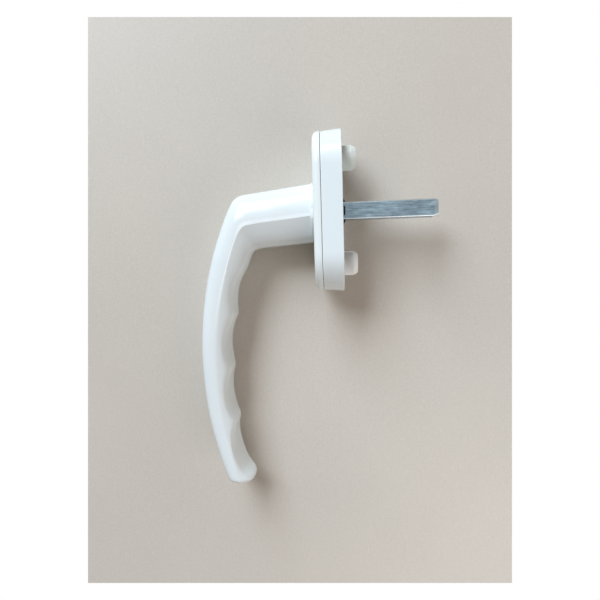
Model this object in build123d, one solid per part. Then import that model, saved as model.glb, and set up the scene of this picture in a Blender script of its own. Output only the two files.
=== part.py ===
from build123d import *
import math
import os

# Lever handle for a sliding door or window sash, in millimetres.
# The origin is on the spindle axis at the mounting face.
# +Y runs into the sash, -Y towards the hand, and +Z is up.

# Rosette: base and cover
base_length = 66.0
base_width = 31.5
base_thickness = 8.3
side_draft = 5.0
back_edge_radius = 0.35
cover_thickness = 3.2
cover_wall = 1.4
cover_edge_radius = 2.2
seam_gap = 0.15
seam_edge_radius = 0.3
boss_height = 1.3
boss_clearance = 0.2
core_wall = 2.2
core_floor = 2.5
core_corner_radius = 0.8
rib_thickness = 1.6
pry_notch_width = 8.0
pry_notch_height = 0.8
pry_notch_depth = 1.2

# Screws and locating lugs
screw_spacing = 43.0
screw_hole_radius = 2.75
screw_head_radius = 5.2
lug_radius = 5.0
lug_length = 5.8
lug_lead_length = 1.8
lug_lead_depth = 1.0
lug_spigot_radius = 4.0
lug_spigot_length = 4.2
lug_seat_depth = 0.6
lug_relief = 0.2
tower_wall = 1.6
press_gap = 0.02

# Bearing and detent
journal_radius = 7.5
running_clearance = 0.06
axial_play = 0.05
bush_wall = 1.1
bush_flange_radius = 11.4
bush_flange_thickness = 0.6
mechanism_wall = 3.4
cam_half_width = 8.0
cam_reach = 9.4
cam_seat_radius = 6.4
cam_seat_flat = 5.6
cam_clearance = 0.3
key_clearance = 0.05
leaf_thickness = 0.5
leaf_half_length = 7.6
leaf_bow = 1.0
leaf_touch_gap = 0.05
washer_thickness = 1.0
washer_sink = 0.25
washer_lap = 0.4
washer_hole_clearance = 0.25

# Spindle and its clip
spindle_width = 7.0
spindle_edge_radius = 0.6
spindle_reach = 38.5
spindle_bevel_length = 1.65
spindle_bevel_depth = 0.6
socket_depth = 34.0
socket_clearance = 0.05
clip_radius = 6.0
clip_thickness = 0.5
clip_tab_width = 3.4
clip_tab_height = 1.1
clip_rim = 0.9

# Lever: collar and neck
collar_radius = 12.1
collar_clearance = 0.2
collar_projection = 1.15
collar_edge_radius = 0.4
neck_root_depth = 0.6
neck_top = 11.8
neck_bottom = 12.4
neck_top_droop = 6.6
neck_bottom_droop = 4.0
neck_half_width = 10.7

# Lever: bowed grip, measured on an arc about a far centre
lever_reach = 61.5
bow_radius = 155.5
bow_drop = 61.6
grip_thickness = 13.6
grip_taper = 0.042
grip_half_width = 11.2
tip_half_width = 9.8
first_ridge = -21.8
finger_pitch = 25.2
ridge_count = 3
groove_depth = 1.9
ridge_softness = 0.12
groove_middle = 0.5
last_groove_depth = 2.9
last_groove_bias = 0.86
toe_height = 2.6
toe_start = 0.76
toe_full = 1.0
tip_position = 53.5
tip_turn = 25.0
tip_outer_radius = 0.6
tip_inner_radius = 3.6
tip_side_radius = 2.4
bend_pivot_y = 34.0
bend_pivot_drop = 23.0
outer_corner_radius = 4.5
inner_corner_radius = 5.0

# Lever: cross-section
neck_crease_share = 0.57
grip_crease_share = 0.595
sharp_crease_ease = 0.3
soft_crease_ease = 1.3
neck_fullness = 0.6
grip_fullness = 0.74
flank_fullness = 0.9
inner_fullness = 0.75
neck_flank_angle = 20.0
grip_flank_angle = 32.0

# How finely the lever's sections are spaced
neck_sections = 6
bend_sections = 8
root_sections = 7
sections_per_finger = 7
last_groove_sections = 9
tip_sections = 5

# Levels along Y that follow from the sizes above
seam_y = -base_thickness
boss_y = seam_y - boss_height
flange_y = boss_y - bush_flange_thickness
shoulder_y = flange_y - axial_play
cover_rim_y = seam_y - seam_gap
cover_front_y = cover_rim_y - cover_thickness
collar_front_y = cover_front_y - collar_projection
mechanism_y = boss_y + mechanism_wall
washer_front_y = -washer_sink - washer_thickness
washer_back_y = -washer_sink
cam_front_y = mechanism_y + cam_clearance
cam_back_y = washer_front_y - cam_clearance
clip_front_y = washer_back_y + axial_play

# Radii and half sizes that follow
draft_run = base_thickness * math.tan(math.radians(side_draft))
seam_length = base_length - 2 * draft_run
seam_width = base_width - 2 * draft_run
boss_radius = seam_width / 2 - cover_wall - boss_clearance
bush_radius = journal_radius + running_clearance + bush_wall
pocket_half_width = cam_reach + leaf_thickness + cam_clearance
pocket_half_length = leaf_half_length + cam_clearance
washer_radius = math.hypot(pocket_half_width, pocket_half_length) + washer_lap
washer_seat_radius = washer_radius + running_clearance
tower_radius = lug_radius + tower_wall
spindle_corner = spindle_width / math.sqrt(2)
last_ridge = first_ridge + finger_pitch * (ridge_count - 1)
tip_round_start = tip_position - max(tip_outer_radius, tip_inner_radius, tip_side_radius)
screw_heights = (screw_spacing / 2, -screw_spacing / 2)

# Centre of the bow and the inside corner's pivot, in the lever's middle plane
bow_centre = Vector(0, bow_radius - lever_reach, -bow_drop)
bend_pivot = Vector(0, -bend_pivot_y, -bend_pivot_drop)


def across(y):
    """Plane square to the spindle, with local x up and local y sideways."""
    return Plane(origin=(0, y, 0), x_dir=(0, 0, 1), z_dir=(0, 1, 0))


def slab(sketch, y_from, y_to):
    """Sketch drawn across the spindle, carried from one level to another."""
    return extrude(across(y_from) * sketch, amount=y_to - y_from)


def disc(radius, y_from, y_to):
    return slab(Circle(radius), y_from, y_to)


def base_plate():
    """Drafted rosette base: mechanism pocket, screw towers and cored ends."""
    back = Plane(origin=(0, 0, 0), x_dir=(0, 0, 1), z_dir=(0, -1, 0))
    body = extrude(back * SlotOverall(base_length, base_width), amount=base_thickness, taper=side_draft)
    body = fillet(body.faces().sort_by(Axis.Y)[0].edges(), seam_edge_radius)
    body = fillet(body.faces().sort_by(Axis.Y)[-1].edges(), back_edge_radius)
    body += disc(boss_radius, boss_y, seam_y)
    body -= slab(core_outline(), seam_y + core_floor, 0)
    body -= disc(bush_radius + press_gap, boss_y, mechanism_y)
    body -= slab(pocket_outline(), mechanism_y, washer_front_y)
    body -= disc(washer_seat_radius, washer_front_y, 0)
    for height in screw_heights:
        body -= screw_cut(height)
    return body


def core_outline():
    """Hollows round the two screw towers, seen from the back, with ribs left standing."""
    hub_radius = washer_seat_radius + core_wall
    hollow = SlotOverall(base_length - 2 * core_wall, base_width - 2 * core_wall)
    hollow -= Circle(hub_radius)
    for height in screw_heights:
        hollow -= Pos(height, 0) * Circle(tower_radius)
        hollow -= Pos(height, 0) * Rectangle(rib_thickness, base_width)
    hollow -= Rectangle(base_length, rib_thickness)
    shrunk = offset(hollow, -core_corner_radius)
    return offset(shrunk, core_corner_radius, kind=Kind.ARC)


def pocket_outline():
    """Room for the turning cam and for the two leaf springs beside it."""
    return Circle(cam_reach + cam_clearance) + Rectangle(2 * pocket_half_length, 2 * pocket_half_width)


def screw_cut(height):
    """Countersunk hole with the lug's socket at its back."""
    head_depth = screw_head_radius - screw_hole_radius
    hole = disc(screw_hole_radius, seam_y, 0)
    socket = disc(lug_spigot_radius + press_gap, -lug_spigot_length - press_gap, 0)
    socket += disc(lug_radius + press_gap, -lug_seat_depth, 0)
    sink = loft([
        across(seam_y) * Circle(screw_head_radius),
        across(seam_y + head_depth) * Circle(screw_hole_radius),
    ])
    return Pos(0, 0, height) * (hole + socket + sink)


def locating_lug(height):
    """Nylon bush with a lead-in, pressed into its socket round the screw hole."""
    shank = disc(lug_radius, 0, lug_length - lug_lead_length)
    foot = disc(lug_radius - lug_relief, -lug_seat_depth, 0)
    lead = loft([
        across(lug_length - lug_lead_length) * Circle(lug_radius),
        across(lug_length) * Circle(lug_radius - lug_lead_depth),
    ])
    spigot = disc(lug_spigot_radius, -lug_spigot_length, 0)
    bush = shank + foot + lead + spigot - disc(screw_hole_radius, -lug_spigot_length, lug_length)
    return Pos(0, 0, height) * bush


def cover():
    """Thin cap over the base, with a round window for the lever's collar."""
    outline = SlotOverall(seam_length, seam_width)
    cap = slab(outline, cover_front_y, cover_rim_y)
    cap = fillet(cap.faces().sort_by(Axis.Y)[0].edges(), cover_edge_radius)
    cap = fillet(cap.faces().sort_by(Axis.Y)[-1].edges(), seam_edge_radius)
    inside = SlotOverall(seam_length - 2 * cover_wall, seam_width - 2 * cover_wall)
    hollow = slab(inside, cover_front_y + cover_wall, cover_rim_y)
    hollow_edges = hollow.faces().sort_by(Axis.Y)[0].edges()
    hollow = fillet(hollow_edges, max(cover_edge_radius - cover_wall, seam_edge_radius))
    cap -= hollow
    cap -= disc(collar_radius + collar_clearance, cover_front_y, cover_rim_y)
    notch = Box(pry_notch_width, pry_notch_height, 2 * pry_notch_depth)
    cap -= Pos(0, cover_rim_y - pry_notch_height / 2, -seam_length / 2) * notch
    return cap


def bearing_bush():
    """Flanged sleeve between the lever's journal and the base."""
    sleeve = disc(bush_radius, boss_y, mechanism_y)
    flange = disc(bush_flange_radius, flange_y, boss_y)
    return sleeve + flange - disc(journal_radius + running_clearance, flange_y, mechanism_y)


def cam_seat_outline(clearance):
    """Round seat with two flats that key the cam to the lever."""
    flats = Rectangle(2 * cam_seat_radius + 2 * clearance, 2 * cam_seat_flat + 2 * clearance)
    return Circle(cam_seat_radius + clearance) & flats


def index_cam():
    """Square cam with rounded corners, one flat for each stop of the lever."""
    outline = Rectangle(2 * cam_half_width, 2 * cam_half_width) & Circle(cam_reach)
    return slab(outline - cam_seat_outline(key_clearance), cam_front_y, cam_back_y)


def detent_spring(side):
    """Bowed leaf whose middle bears on the cam and whose ends stand in the pocket's corners."""
    near = cam_half_width + leaf_touch_gap
    middle = (0, near)
    low_end = (-leaf_half_length, near + leaf_bow)
    high_end = (leaf_half_length, near + leaf_bow)
    inner_arc = ThreePointArc(low_end, middle, high_end)
    outer_arc = ThreePointArc(
        (leaf_half_length, near + leaf_bow + leaf_thickness),
        (0, near + leaf_thickness),
        (-leaf_half_length, near + leaf_bow + leaf_thickness),
    )
    ends = [Line(inner_arc @ 1, outer_arc @ 0), Line(outer_arc @ 1, inner_arc @ 0)]
    leaf = make_face([inner_arc, ends[0], outer_arc, ends[1]])
    if side < 0:
        leaf = mirror(leaf, about=Plane.XZ)
    return slab(leaf, cam_front_y, cam_back_y)


def thrust_washer():
    """Disc that closes the mechanism pocket and carries the clip."""
    plate = disc(washer_radius, washer_front_y, washer_back_y)
    return plate - disc(spindle_corner + washer_hole_clearance, washer_front_y, washer_back_y)


def spindle_outline(width):
    return RectangleRounded(width, width, spindle_edge_radius)


def spindle():
    """Square bar with eased long edges and a bevelled end."""
    bevel_y = spindle_reach - spindle_bevel_length
    bar = slab(spindle_outline(spindle_width), -socket_depth, bevel_y)
    end = loft([
        across(bevel_y) * spindle_outline(spindle_width),
        across(spindle_reach) * spindle_outline(spindle_width - 2 * spindle_bevel_depth),
    ])
    return bar + end


def spindle_clip():
    """Push-on clip: a flat ring with four raised tabs that bite on the spindle."""
    opening = spindle_width + 2 * socket_clearance
    clip_back_y = clip_front_y + clip_thickness
    tab_root = clip_radius - clip_rim / 2
    ring = slab(Circle(clip_radius) - Circle(clip_radius - clip_rim), clip_front_y, clip_back_y)
    profile = Polyline(
        (tab_root, clip_front_y),
        (tab_root, clip_back_y),
        (opening / 2 + clip_thickness, clip_tab_height),
        (opening / 2, clip_tab_height),
        (opening / 2, clip_tab_height - clip_thickness),
        close=True,
    )
    tab = extrude(make_face(profile), amount=clip_tab_width / 2, both=True)
    for turn in range(4):
        ring += Rot(0, 90 * turn, 0) * tab
    return ring


def between(first, second, share):
    """Value at a share of the way from one value to another."""
    return first + (second - first) * share


def soft_minimum(first, second, setback):
    """Smaller of two lengths, reduced by the setback where they are equal, so that corners come out round."""
    share = setback / min(first, second)
    power = math.log(2) / -math.log(1 - share)
    return (first ** -power + second ** -power) ** (-1 / power)


def corner_setback(radius, opening):
    """Distance from a corner's point to the arc that rounds it."""
    return radius * (1 / math.sin(opening / 2) - 1)


def groove(along):
    """Share of a groove's depth between two ridges, with softened ridges at 0 and 1."""
    dip = math.hypot(math.sin(math.pi * along), ridge_softness) - ridge_softness
    return dip / (math.hypot(1, ridge_softness) - ridge_softness)


def easy_step(value, start, end):
    """Nought before the start, one after the end, and an easy curve between them."""
    share = min(max((value - start) / (end - start), 0), 1)
    return share ** 2 * (3 - 2 * share)


def plain_depth(position):
    """Tapering grip thickness, outside to inside, over the crests between the finger grooves."""
    return grip_thickness - grip_taper * (position - first_ridge)


def grip_depth(position):
    """Grip thickness at a distance along the bow, with the finger grooves and the toe."""
    depth = plain_depth(position)
    if position > last_ridge:
        along = (position - last_ridge) / (tip_position - last_ridge)
        depth += toe_height * easy_step(along, toe_start, toe_full)
        return depth - last_groove_depth * groove(along ** last_groove_bias)
    along = (position - first_ridge) / finger_pitch
    if along < -groove_middle:
        return depth - groove_depth * (1 - math.cos(2 * math.pi * along)) / 2
    return depth - groove_depth * groove(along)


def bow_point(radius, angle):
    """Point in the middle plane on an arc about the bow's centre; the angle runs downward."""
    return bow_centre + Vector(0, -radius * math.cos(angle), -radius * math.sin(angle))


def along_line(direction, root_height, droop):
    """Distance from the pivot to one of the neck's sloping lines."""
    slope = math.tan(math.radians(droop))
    height = root_height - slope * (cover_front_y - bend_pivot.Y) - bend_pivot.Z
    return height / (direction.Z - slope * direction.Y)


def along_bow(direction, radius):
    """Distance from the pivot to an arc about the bow's centre."""
    from_centre = bend_pivot - bow_centre
    reach = from_centre.dot(direction)
    return -reach + math.sqrt(reach ** 2 - from_centre.length ** 2 + radius ** 2)


def neck_stations():
    """Upright sections from inside the collar to the bend."""
    start_y = collar_front_y + neck_root_depth
    for step in range(neck_sections):
        y = start_y + (bend_pivot.Y - start_y) * step / neck_sections
        run = cover_front_y - y
        top = neck_top - run * math.tan(math.radians(neck_top_droop))
        bottom = -neck_bottom - run * math.tan(math.radians(neck_bottom_droop))
        crease = top + (bottom - top) * neck_crease_share
        levels = [Vector(0, y, height) for height in (top, crease, bottom)]
        yield *levels, neck_half_width, sharp_crease_ease, neck_fullness, neck_flank_angle


def bend_stations(root_angle):
    """Sections that fan about the pivot, from upright to the first one across the grip."""
    upright = math.pi / 2
    last = math.pi + root_angle
    opening = math.pi - (last - upright)
    root_position = bow_radius * root_angle
    root_depth = grip_depth(root_position)
    root_crease_share = grip_crease_share * plain_depth(root_position) / root_depth
    for step in range(bend_sections):
        share = step / bend_sections
        angle = upright + (last - upright) * share
        direction = Vector(0, math.cos(angle), math.sin(angle))
        outer = soft_minimum(
            along_line(direction, neck_top, neck_top_droop),
            along_bow(direction, bow_radius),
            corner_setback(outer_corner_radius, opening),
        )
        inner = soft_minimum(
            along_line(direction, -neck_bottom, neck_bottom_droop),
            along_bow(direction, bow_radius - root_depth),
            corner_setback(inner_corner_radius, opening),
        )
        crease_share = between(neck_crease_share, root_crease_share, share)
        crease = outer + (inner - outer) * crease_share
        levels = [bend_pivot + direction * distance for distance in (outer, crease, inner)]
        half_width = between(neck_half_width, grip_half_width, share)
        fullness = between(neck_fullness, grip_fullness, share)
        flank_angle = between(neck_flank_angle, grip_flank_angle, share)
        yield *levels, half_width, sharp_crease_ease, fullness, flank_angle


def grip_positions(root_position):
    """Distances along the bow at which the grip is sectioned, with the grooves' crests among them."""
    for step in range(root_sections):
        yield root_position + (first_ridge - root_position) * step / root_sections
    for step in range((ridge_count - 1) * sections_per_finger):
        yield first_ridge + finger_pitch * step / sections_per_finger
    for step in range(last_groove_sections):
        yield last_ridge + (tip_round_start - last_ridge) * step / last_groove_sections
    for step in range(tip_sections + 1):
        yield tip_round_start + (tip_position - tip_round_start) * math.sin(math.pi / 2 * step / tip_sections)


def tip_inset(position, radius):
    """How far a rounded edge at the tip has drawn the outline in."""
    past = max(0, position - tip_position + radius)
    return radius - math.sqrt(max(0, radius ** 2 - past ** 2))


def grip_stations(root_angle):
    """Sections across the bow, which turn level towards the rounded tip."""
    root_position = bow_radius * root_angle
    for position in grip_positions(root_position):
        angle = position / bow_radius
        tip_share = max(0, (position - last_ridge) / (tip_position - last_ridge))
        length_share = (position - root_position) / (tip_position - root_position)
        lean = angle - math.radians(tip_turn) * tip_share
        inward = Vector(0, math.cos(lean), math.sin(lean))
        bow = bow_point(bow_radius, angle)
        outer = bow + inward * tip_inset(position, tip_outer_radius)
        crease = bow + inward * plain_depth(position) * grip_crease_share
        inner = bow + inward * (grip_depth(position) - tip_inset(position, tip_inner_radius))
        half_width = between(grip_half_width, tip_half_width, length_share)
        half_width -= tip_inset(position, tip_side_radius)
        ease = between(sharp_crease_ease, soft_crease_ease, math.sin(math.pi * length_share))
        yield outer, crease, inner, half_width, ease, grip_fullness, grip_flank_angle


def lever_section(outer, crease, inner, half_width, crease_ease, fullness, flank_angle):
    """Full rounded outer half and bevelled inner half, which meet in an eased crease at the widest line."""
    outer_depth = (outer - crease).length
    inner_depth = (crease - inner).length
    plane = Plane(origin=crease, x_dir=(1, 0, 0), z_dir=Vector(1, 0, 0).cross(outer - inner))
    lean = math.radians(flank_angle)
    flank_start = half_width - crease_ease * math.sin(lean)
    flank_drop = crease_ease * math.cos(lean)
    corner = flank_start - (inner_depth - flank_drop) * math.tan(lean)
    edges = []
    for side in (1, -1):
        edges.append(Bezier(
            (0, outer_depth),
            (side * fullness * half_width, outer_depth),
            (side * half_width, fullness * outer_depth),
            (side * half_width, crease_ease),
        ))
        edges.append(Bezier(
            (side * half_width, crease_ease),
            (side * half_width, 0),
            (side * flank_start, -flank_drop),
        ))
        edges.append(Bezier(
            (side * flank_start, -flank_drop),
            (
                side * between(flank_start, corner, flank_fullness),
                between(-flank_drop, -inner_depth, flank_fullness),
            ),
            (side * inner_fullness * corner, -inner_depth),
            (0, -inner_depth),
        ))
    return plane * make_face(edges)


def lever():
    """Grip, neck, collar and journal in one casting, with the spindle's socket."""
    pivot_offset = bend_pivot - bow_centre
    root_angle = -math.asin(pivot_offset.Z / pivot_offset.length)
    stations = [*neck_stations(), *bend_stations(root_angle), *grip_stations(root_angle)]
    handle = loft([lever_section(*station) for station in stations])
    collar = disc(collar_radius, collar_front_y, shoulder_y)
    collar = fillet(collar.faces().sort_by(Axis.Y)[0].edges(), collar_edge_radius)
    casting = handle + collar
    casting += disc(journal_radius, shoulder_y, cam_front_y)
    casting += slab(cam_seat_outline(0), cam_front_y, cam_back_y)
    socket = spindle_width + 2 * socket_clearance
    casting -= slab(Rectangle(socket, socket), -socket_depth - socket_clearance, cam_back_y)
    return casting


def main():
    pieces = {
        "lever": lever(),
        "cover": cover(),
        "base_plate": base_plate(),
        "bearing_bush": bearing_bush(),
        "index_cam": index_cam(),
        "detent_spring_left": detent_spring(-1),
        "detent_spring_right": detent_spring(1),
        "thrust_washer": thrust_washer(),
        "spindle": spindle(),
        "spindle_clip": spindle_clip(),
        "locating_lug_upper": locating_lug(screw_heights[0]),
        "locating_lug_lower": locating_lug(screw_heights[1]),
    }
    os.makedirs("parts", exist_ok=True)
    for name, piece in pieces.items():
        export_step(piece, f"parts/{name}.step")


main()
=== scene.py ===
import math

import bpy
from mathutils import Euler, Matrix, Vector


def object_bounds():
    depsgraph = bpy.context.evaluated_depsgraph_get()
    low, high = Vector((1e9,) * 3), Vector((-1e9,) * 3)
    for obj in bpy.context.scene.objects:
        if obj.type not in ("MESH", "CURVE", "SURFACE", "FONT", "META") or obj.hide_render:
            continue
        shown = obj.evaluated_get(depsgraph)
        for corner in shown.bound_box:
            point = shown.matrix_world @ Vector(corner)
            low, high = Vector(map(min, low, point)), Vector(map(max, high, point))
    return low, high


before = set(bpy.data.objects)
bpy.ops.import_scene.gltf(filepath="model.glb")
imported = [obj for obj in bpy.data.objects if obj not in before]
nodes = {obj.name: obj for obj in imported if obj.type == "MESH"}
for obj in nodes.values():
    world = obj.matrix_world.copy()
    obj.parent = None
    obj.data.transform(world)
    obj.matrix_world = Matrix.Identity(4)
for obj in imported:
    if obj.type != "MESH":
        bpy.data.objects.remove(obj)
cad_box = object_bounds()
mm = 0.001

# The photograph's camera: an ordinary phone lens, close above the handle lying on its side
image_size = 600
sensor_width = 36.0
lens = 25.8
camera_place = Vector((182.52, -4.66, -18.97)) * mm
camera_turn = [math.radians(angle) for angle in (84.517, 1.840, 94.276)]

# The board that the handle lies on, touching the rosette's edge and the side of the grip. Its corners are
# points of the image.
board_lean = math.radians(5.0)
board_touch = Vector((-15.8, 0, 0)) * mm
board_corners = ((88, 583), (512, 583), (512, 17), (88, 17))

# Light from a window above and to the left, a weaker one from a doorway below and to the right, and one for
# the side that lies on the board. Directions start at the handle, lengths are in metres, powers are in
# watts, and bounces says how often the light may be thrown on from one surface to the next.
lamps = {
    "window": dict(
        direction=(0.65, -0.38, 0.74), distance=1.4, size=(0.6, 1.1),
        power=27.8, colour=(0.80, 0.905, 1.0), bounces=1024,
    ),
    "doorway": dict(
        direction=(0.3, 0.68, -0.68), distance=0.38, size=(0.4, 0.5),
        power=0.9, colour=(0.98, 0.99, 1.0), bounces=1024,
    ),
    "under_light": dict(
        direction=(-0.97, -0.1, 0.2), distance=1.0, size=(0.6, 0.6),
        power=6.5, colour=(1.0, 0.97, 0.95), bounces=0,
    ),
}

# The room all round: warm where it lights the handle, cooler where it is mirrored, white where it is seen
room_colour = (1.0, 0.76, 0.58)
room_strength = 0.205
mirrored_colour = (0.84, 0.93, 1.0)
mirrored_strength = 0.6
seen_colour = (1, 1, 1)
seen_strength = 1.0

# Colours of the pieces and the board
lever_white = (0.752, 0.802, 0.812)
base_white = (0.765, 0.825, 0.845)
cover_white = (0.805, 0.86, 0.86)
# The upper lug's nylon is a darker, greener copy of the lower one's: painted shade from the base
upper_lug_shaded_white = (0.81, 0.87, 0.83)
lower_lug_white = (0.97, 0.975, 0.96)
bush_white = (0.82, 0.82, 0.75)
bar_grey = (0.375, 0.462, 0.505)
washer_grey = (0.52, 0.54, 0.54)
clip_dark = (0.03, 0.03, 0.033)
strip_grey = (0.40, 0.40, 0.39)
casting_grey = (0.46, 0.46, 0.45)
board_colour = (0.588, 0.537, 0.476)

# Colours of pale edges, rubbed and painted as a highlight on the coat and the bar, rubbed on plastic, and
# of painted shade in seams
highlight_and_rubbed_coat = (0.94, 0.985, 1.0)
rubbed_plastic = (0.93, 0.95, 0.95)
highlight_and_rubbed_bar = (0.74, 0.76, 0.76)
seam_shade = (0.42, 0.41, 0.38)

# Painted shade is darkest where no more than the first share of the sky shows, counting what lies within
# its reach, and there is none from the second share on. It covers at most this much of the colour.
shade_sky = (0.25, 0.6)
shade_reach = 0.8 * mm
shade_cover = 0.6
shade_samples = 8

# Edges, by the cosine of the turn that rounding them would give: fully paled, and not paled
edge_turn = (0.9, 0.995)
edge_samples = 4

# Most values of a noise texture lie between these
noise_range = (0.3, 0.7)

# Where the square bar is painted bright, as rubbing and as a painted highlight: the distances from its
# axis, and from the mounting face, at which the brightening begins and is full
bar_corner = (4.54 * mm, 4.64 * mm)
bar_end = (36.7 * mm, 36.9 * mm)

# The painted highlight along the crease of the lever's sides lies where they begin to turn in or down. It
# comes in and goes out between these sines of the turn, and comes in between these shares of facing
# sideways.
crease_start = (0.03, 0.08)
crease_end = (0.345, 0.36)
crease_sides = (0.6, 0.85)

# On the grip, the crease's painted highlight fades between these heights, down to this share
crease_fade = (-48 * mm, -22 * mm)
crease_rest = 0.1

# On the neck, the crease's painted highlight begins this much earlier. The lead grows between these
# heights.
neck_lead = 0.095
neck_heights = (-25 * mm, -4 * mm)


# What finishes are made of

def add(tree, kind, **values):
    """A new node with the named inputs set."""
    node = tree.nodes.new(kind)
    for name, value in values.items():
        node.inputs[name].default_value = value
    return node


def connect(tree, source, socket):
    """Gives an input either a link or a plain value."""
    if isinstance(source, bpy.types.NodeSocket):
        tree.links.new(source, socket)
    else:
        socket.default_value = source


def calculate(tree, operation, first, second=0.0):
    node = tree.nodes.new("ShaderNodeMath")
    node.operation = operation
    connect(tree, first, node.inputs[0])
    connect(tree, second, node.inputs[1])
    return node.outputs[0]


def position(tree, stretch=(1, 1, 1)):
    """Place on the piece in metres, counted faster along the axes that are stretched."""
    source = tree.nodes.new("ShaderNodeTexCoord")
    mapping = add(tree, "ShaderNodeMapping", Scale=stretch)
    tree.links.new(source.outputs["Object"], mapping.inputs["Vector"])
    return mapping.outputs["Vector"]


def axes(tree, vector):
    """The three parts of a vector, by their names."""
    node = tree.nodes.new("ShaderNodeSeparateXYZ")
    tree.links.new(vector, node.inputs["Vector"])
    return node.outputs


def length(tree, vector):
    node = tree.nodes.new("ShaderNodeVectorMath")
    node.operation = "LENGTH"
    tree.links.new(vector, node.inputs[0])
    return node.outputs["Value"]


def noise(tree, place, scale, detail, roughness=0.5):
    node = add(tree, "ShaderNodeTexNoise", Scale=scale, Detail=detail, Roughness=roughness)
    tree.links.new(place, node.inputs["Vector"])
    return node.outputs["Fac"]


def spread(tree, value, low, high, within=noise_range):
    """Takes the range that a value lies within to the range from low to high."""
    node = tree.nodes.new("ShaderNodeMapRange")
    connect(tree, value, node.inputs["Value"])
    node.inputs["From Min"].default_value = within[0]
    node.inputs["From Max"].default_value = within[1]
    node.inputs["To Min"].default_value = low
    node.inputs["To Max"].default_value = high
    return node.outputs["Result"]


def mix_colour(tree, share, first, second, blend="MIX"):
    node = tree.nodes.new("ShaderNodeMix")
    node.data_type = "RGBA"
    node.blend_type = blend
    connect(tree, share, node.inputs["Factor"])
    sockets = {socket.identifier: socket for socket in node.inputs}
    for colour, name in ((first, "A_Color"), (second, "B_Color")):
        if not isinstance(colour, bpy.types.NodeSocket):
            colour = (*colour, 1)
        connect(tree, colour, sockets[name])
    return next(socket for socket in node.outputs if socket.identifier == "Result_Color")


def mix_shader(tree, share, first, second):
    node = add(tree, "ShaderNodeMixShader")
    tree.links.new(share, node.inputs["Fac"])
    tree.links.new(first.outputs[0], node.inputs[1])
    tree.links.new(second.outputs[0], node.inputs[2])
    return node


def shade(tree, value, colour, darkest, lightest):
    """A colour made darker and lighter by a texture."""
    level = spread(tree, value, darkest, lightest)
    grey = tree.nodes.new("ShaderNodeCombineColor")
    for channel in grey.inputs:
        tree.links.new(level, channel)
    return mix_colour(tree, 1.0, colour, grey.outputs[0], "MULTIPLY")


def edges(tree, radius, strength):
    """The given strength along the piece's sharp edges and nought on its flat faces."""
    bevel = add(tree, "ShaderNodeBevel", Radius=radius)
    bevel.samples = edge_samples
    flat = tree.nodes.new("ShaderNodeNewGeometry")
    turn = tree.nodes.new("ShaderNodeVectorMath")
    turn.operation = "DOT_PRODUCT"
    tree.links.new(bevel.outputs["Normal"], turn.inputs[0])
    tree.links.new(flat.outputs["Normal"], turn.inputs[1])
    return spread(tree, turn.outputs["Value"], low=strength, high=0, within=edge_turn)


def seam_shaded(tree, colour):
    """A colour with painted shade in seams and corners, and none on open faces."""
    sky = add(tree, "ShaderNodeAmbientOcclusion", Distance=shade_reach)
    sky.samples = shade_samples
    share = spread(tree, sky.outputs["AO"], low=shade_cover, high=0, within=shade_sky)
    return mix_colour(tree, share, colour, seam_shade)


def bump(tree, shader, height, strength, depth):
    """Adds a layer of relief over those that the finish already has."""
    node = add(tree, "ShaderNodeBump", Strength=strength, Distance=depth)
    tree.links.new(height, node.inputs["Height"])
    normal = shader.inputs["Normal"]
    if normal.is_linked:
        tree.links.new(normal.links[0].from_socket, node.inputs["Normal"])
    tree.links.new(node.outputs["Normal"], normal)


def crease_highlight(tree):
    """One on the painted highlight along the crease of the lever's sides and nought beside it."""
    source = tree.nodes.new("ShaderNodeTexCoord")
    facing = axes(tree, source.outputs["Normal"])
    height = axes(tree, source.outputs["Object"])["Z"]
    lead = spread(tree, height, low=0, high=neck_lead, within=neck_heights)
    falling = calculate(tree, "SUBTRACT", facing["Z"], lead)
    turned = tree.nodes.new("ShaderNodeCombineXYZ")
    tree.links.new(calculate(tree, "MAXIMUM", facing["Y"]), turned.inputs["Y"])
    tree.links.new(calculate(tree, "MINIMUM", falling), turned.inputs["Z"])
    turn = length(tree, turned.outputs["Vector"])
    begun = spread(tree, turn, low=0, high=1, within=crease_start)
    ended = spread(tree, turn, low=1, high=0, within=crease_end)
    faded = spread(tree, height, low=crease_rest, high=1, within=crease_fade)
    sideways = calculate(tree, "ABSOLUTE", facing["X"])
    beside = spread(tree, sideways, low=0, high=1, within=crease_sides)
    line = calculate(tree, "MULTIPLY", begun, ended)
    strength = calculate(tree, "MULTIPLY", faded, beside)
    return calculate(tree, "MULTIPLY", line, strength)


# Finishes

def new_finish(name, **values):
    """A new finish with the named inputs set. An underscore stands for a space."""
    material = bpy.data.materials.new(name)
    material.use_nodes = True
    shader = material.node_tree.nodes["Principled BSDF"]
    for socket, value in values.items():
        shader.inputs[socket.replace("_", " ")].default_value = value
    return material, material.node_tree, shader


def paint(tree, shader, colour, roughness):
    tree.links.new(colour, shader.inputs["Base Color"])
    tree.links.new(roughness, shader.inputs["Roughness"])


def brighter(colour, times):
    return tuple(min(1.0, channel * times) for channel in colour)


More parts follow.
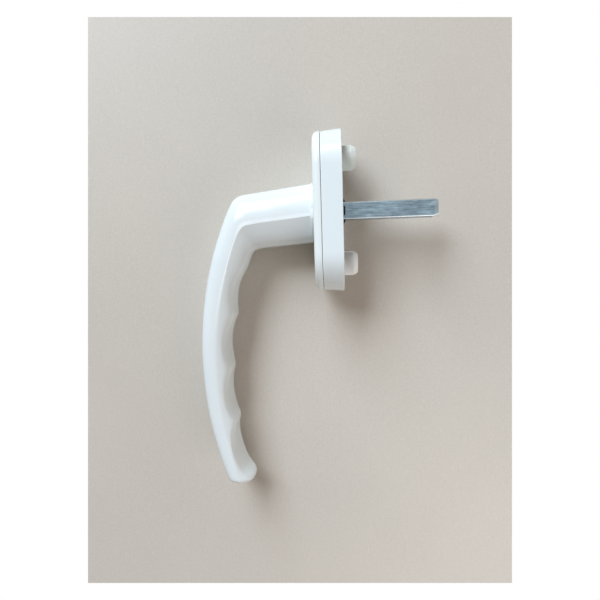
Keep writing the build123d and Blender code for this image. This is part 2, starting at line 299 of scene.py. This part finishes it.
def coat_finish(name, colour, roughness, crease_highlit=False):
    """Baked white coat on a casting: a fine orange peel, edges painted pale as rubbing and as a painted
    highlight, a painted highlight along the crease where asked, and painted shade in the seams.
    """
    material, tree, shader = new_finish(name, Specular_IOR_Level=0.3)
    place = position(tree)
    cloud = noise(tree, place, scale=35, detail=3)
    peel = noise(tree, place, scale=420, detail=2)
    grain = noise(tree, place, scale=2600, detail=1)
    body = shade(tree, cloud, colour, darkest=0.98, lightest=1.015)
    # Edges are painted pale: rubbing and a painted highlight.
    paled_share = edges(tree, radius=0.45 * mm, strength=0.8)
    # On the lever, a painted highlight is added along the crease.
    if crease_highlit:
        paled_share = calculate(tree, "MAXIMUM", paled_share, crease_highlight(tree))
    paled = mix_colour(tree, paled_share, body, highlight_and_rubbed_coat)
    sheen = spread(tree, cloud, low=roughness - 0.02, high=roughness + 0.04)
    # Painted shade darkens the seams.
    paint(tree, shader, seam_shaded(tree, paled), sheen)
    bump(tree, shader, peel, strength=0.05, depth=0.02 * mm)
    bump(tree, shader, grain, strength=0.03, depth=0.008 * mm)
    return material


def plastic_finish(name, colour, roughness):
    """Moulded white plastic with a faint flow pattern and an even satin grain."""
    material, tree, shader = new_finish(name, Specular_IOR_Level=0.45)
    flow = noise(tree, position(tree, stretch=(1, 4, 0.4)), scale=60, detail=4, roughness=0.6)
    grain = noise(tree, position(tree), scale=1900, detail=2)
    body = shade(tree, flow, colour, darkest=0.98, lightest=1.015)
    paled_share = edges(tree, radius=0.3 * mm, strength=0.4)
    paled = mix_colour(tree, paled_share, body, rubbed_plastic)
    sheen = spread(tree, flow, low=roughness - 0.03, high=roughness + 0.06)
    # Painted shade darkens the seams.
    paint(tree, shader, seam_shaded(tree, paled), sheen)
    bump(tree, shader, grain, strength=0.06, depth=0.01 * mm)
    return material


def nylon_finish(name, colour):
    """Natural nylon: cloudy, slightly see-through and dull."""
    material, tree, shader = new_finish(
        name,
        Subsurface_Weight=0.8,
        Subsurface_Radius=(1.0, 1.0, 0.9),
        Subsurface_Scale=1.5 * mm,
        Transmission_Weight=0.05,
        IOR=1.53,
    )
    place = position(tree)
    cloud = noise(tree, place, scale=220, detail=3)
    grain = noise(tree, place, scale=2200, detail=2)
    body = shade(tree, cloud, colour, darkest=0.94, lightest=1.03)
    paint(tree, shader, body, spread(tree, cloud, low=0.38, high=0.52))
    bump(tree, shader, grain, strength=0.1, depth=0.01 * mm)
    return material


def drawn_steel_finish(name, colour):
    """Zinc-plated square bar: streaks along its length, cloudy spangle, and corners and end painted bright
    as rubbing and as a painted highlight.
    """
    material, tree, shader = new_finish(name, Metallic=1.0)
    streak = noise(tree, position(tree, stretch=(1, 0.05, 1)), scale=2600, detail=3)
    spangle = noise(tree, position(tree, stretch=(1, 0.4, 1)), scale=480, detail=5, roughness=0.7)
    bar = shade(tree, streak, colour, darkest=0.62, lightest=1.36)
    cloudy = shade(tree, spangle, bar, darkest=0.76, lightest=1.24)
    # The corners and end are painted bright: rubbing and a painted highlight.
    from_axis = length(tree, position(tree, stretch=(1, 0, 1)))
    from_face = length(tree, position(tree, stretch=(0, 1, 0)))
    corner = spread(tree, from_axis, low=0, high=1, within=bar_corner)
    end = spread(tree, from_face, low=0, high=0.5, within=bar_end)
    patches = spread(tree, spangle, low=0.75, high=1.0)
    paled_share = calculate(tree, "MULTIPLY", calculate(tree, "MAXIMUM", corner, end), patches)
    paled = mix_colour(tree, paled_share, cloudy, highlight_and_rubbed_bar)
    dull = spread(tree, spangle, low=0.26, high=0.4)
    polish = spread(tree, paled_share, low=0, high=0.16, within=(0, 1))
    paint(tree, shader, paled, calculate(tree, "SUBTRACT", dull, polish))
    bump(tree, shader, streak, strength=0.2, depth=0.015 * mm)
    bump(tree, shader, spangle, strength=0.1, depth=0.02 * mm)
    return material


def strip_steel_finish(name, colour):
    """Rolled spring strip: fine lines along its length and a dull oil-hardened cloud."""
    material, tree, shader = new_finish(name, Metallic=1.0)
    line = noise(tree, position(tree, stretch=(1, 1, 0.03)), scale=2600, detail=3)
    cloud = noise(tree, position(tree), scale=300, detail=4, roughness=0.6)
    strip = shade(tree, line, colour, darkest=0.85, lightest=1.12)
    cloudy = shade(tree, cloud, strip, darkest=0.9, lightest=1.08)
    paint(tree, shader, cloudy, spread(tree, cloud, low=0.24, high=0.36))
    bump(tree, shader, line, strength=0.15, depth=0.01 * mm)
    return material


def turned_steel_finish(name, colour, roughness):
    """Turned or stamped steel: fine rings round the spindle axis, and a cloudy plating."""
    material, tree, shader = new_finish(name, Metallic=1.0)
    place = position(tree)
    rings = add(tree, "ShaderNodeTexWave", Scale=900, Distortion=0.6, Detail=2)
    rings.wave_type = "RINGS"
    rings.rings_direction = "Y"
    tree.links.new(place, rings.inputs["Vector"])
    cloud = noise(tree, place, scale=300, detail=4, roughness=0.6)
    body = shade(tree, cloud, colour, darkest=0.88, lightest=1.1)
    paled_share = edges(tree, radius=0.25 * mm, strength=0.7)
    paled = mix_colour(tree, paled_share, body, brighter(colour, times=1.5))
    paint(tree, shader, paled, spread(tree, cloud, low=roughness - 0.06, high=roughness + 0.1))
    bump(tree, shader, rings.outputs["Fac"], strength=0.08, depth=0.01 * mm)
    bump(tree, shader, cloud, strength=0.06, depth=0.02 * mm)
    return material


def cast_finish(name, colour):
    """Bare die casting: grey, slightly rough, with rubbed corners."""
    material, tree, shader = new_finish(name, Metallic=0.85)
    place = position(tree)
    cloud = noise(tree, place, scale=260, detail=4, roughness=0.6)
    pits = noise(tree, place, scale=1300, detail=3)
    body = shade(tree, cloud, colour, darkest=0.85, lightest=1.1)
    paled_share = edges(tree, radius=0.4 * mm, strength=0.8)
    paled = mix_colour(tree, paled_share, body, brighter(colour, times=1.4))
    paint(tree, shader, paled, spread(tree, pits, low=0.36, high=0.55))
    bump(tree, shader, pits, strength=0.2, depth=0.03 * mm)
    return material


def board_finish(name, colour):
    """Pale board with a fine grain, see-through from behind."""
    material, tree, shader = new_finish(name, Roughness=0.6)
    place = position(tree)
    cloud = noise(tree, place, scale=9, detail=3)
    grain = noise(tree, place, scale=1400, detail=2)
    tone = shade(tree, cloud, colour, darkest=0.96, lightest=1.04)
    speck = shade(tree, grain, tone, darkest=0.95, lightest=1.05)
    tree.links.new(speck, shader.inputs["Base Color"])
    bump(tree, shader, grain, strength=0.05, depth=0.1 * mm)
    side = tree.nodes.new("ShaderNodeNewGeometry")
    clear = tree.nodes.new("ShaderNodeBsdfTransparent")
    both = mix_shader(tree, side.outputs["Backfacing"], shader, clear)
    tree.links.new(both.outputs[0], tree.nodes["Material Output"].inputs["Surface"])
    return material


# The stage

def camera_ray(across, down):
    """Direction from the camera through a point of the image, counted from its top left corner."""
    half = image_size / 2
    scale = sensor_width / lens / image_size
    ray = Vector(((across - half) * scale, (half - down) * scale, -1))
    return Euler(camera_turn).to_matrix() @ ray


def make_camera():
    data = bpy.data.cameras.new("camera")
    data.lens = lens
    data.sensor_width = sensor_width
    data.clip_start = 1 * mm
    camera = bpy.data.objects.new("camera", data)
    camera.location = camera_place
    camera.rotation_euler = camera_turn
    bpy.context.scene.collection.objects.link(camera)
    bpy.context.scene.camera = camera


def make_lamps():
    middle = (cad_box[0] + cad_box[1]) / 2
    for name, values in lamps.items():
        data = bpy.data.lights.new(name, "AREA")
        data.shape = "RECTANGLE"
        data.size, data.size_y = values["size"]
        data.energy = values["power"]
        data.color = values["colour"]
        data.cycles.max_bounces = values["bounces"]
        lamp = bpy.data.objects.new(name, data)
        towards = Vector(values["direction"]).normalized()
        lamp.location = middle + towards * values["distance"]
        lamp.rotation_mode = "QUATERNION"
        lamp.rotation_quaternion = towards.to_track_quat("Z", "Y")
        bpy.context.scene.collection.objects.link(lamp)


def make_room():
    world = bpy.data.worlds.new("room")
    bpy.context.scene.world = world
    world.use_nodes = True
    tree = world.node_tree
    path = tree.nodes.new("ShaderNodeLightPath")
    mirrored = path.outputs["Is Glossy Ray"]
    seen = calculate(tree, "MAXIMUM", path.outputs["Is Camera Ray"], path.outputs["Is Transmission Ray"])
    room = tree.nodes["Background"]
    room.inputs["Color"].default_value = (*room_colour, 1)
    room.inputs["Strength"].default_value = room_strength
    for share, colour, strength in (
        (mirrored, mirrored_colour, mirrored_strength),
        (seen, seen_colour, seen_strength),
    ):
        special = add(tree, "ShaderNodeBackground", Color=(*colour, 1), Strength=strength)
        room = mix_shader(tree, share, room, special)
    tree.links.new(room.outputs[0], tree.nodes["World Output"].inputs["Surface"])


def make_board():
    """A flat board with its corners on the camera's rays. Light from behind passes through it."""
    facing = Vector((math.cos(board_lean), math.sin(board_lean), 0))
    corners = []
    for across, down in board_corners:
        ray = camera_ray(across, down)
        reach = (board_touch - camera_place).dot(facing) / ray.dot(facing)
        corners.append(camera_place + ray * reach)
    mesh = bpy.data.meshes.new("board")
    mesh.from_pydata(corners, [], [range(len(corners))])
    board = bpy.data.objects.new("board", mesh)
    bpy.context.scene.collection.objects.link(board)
    mesh.materials.append(board_finish("board_paint", board_colour))
    board.visible_shadow = False


def dress(finish, *names):
    for name in names:
        slots = nodes[name].data.materials
        slots.clear()
        slots.append(finish)


make_camera()
make_room()
make_board()
make_lamps()

dress(coat_finish("lever_coat", lever_white, roughness=0.13, crease_highlit=True), "lever")
dress(coat_finish("base_coat", base_white, roughness=0.12), "base_plate")
dress(plastic_finish("cover_plastic", cover_white, roughness=0.2), "cover")
# The upper lug's darker copy of the nylon is painted shade.
dress(nylon_finish("upper_lug_nylon_shaded", upper_lug_shaded_white), "locating_lug_upper")
dress(nylon_finish("lower_lug_nylon", lower_lug_white), "locating_lug_lower")
dress(nylon_finish("bush_nylon", bush_white), "bearing_bush")
dress(drawn_steel_finish("spindle_zinc", bar_grey), "spindle")
dress(turned_steel_finish("washer_zinc", washer_grey, roughness=0.36), "thrust_washer")
dress(turned_steel_finish("clip_black", clip_dark, roughness=0.42), "spindle_clip")
dress(strip_steel_finish("spring_steel", strip_grey), "detent_spring_left", "detent_spring_right")
dress(cast_finish("cam_zinc", casting_grey), "index_cam")

bpy.context.scene.view_settings.view_transform = "Standard"
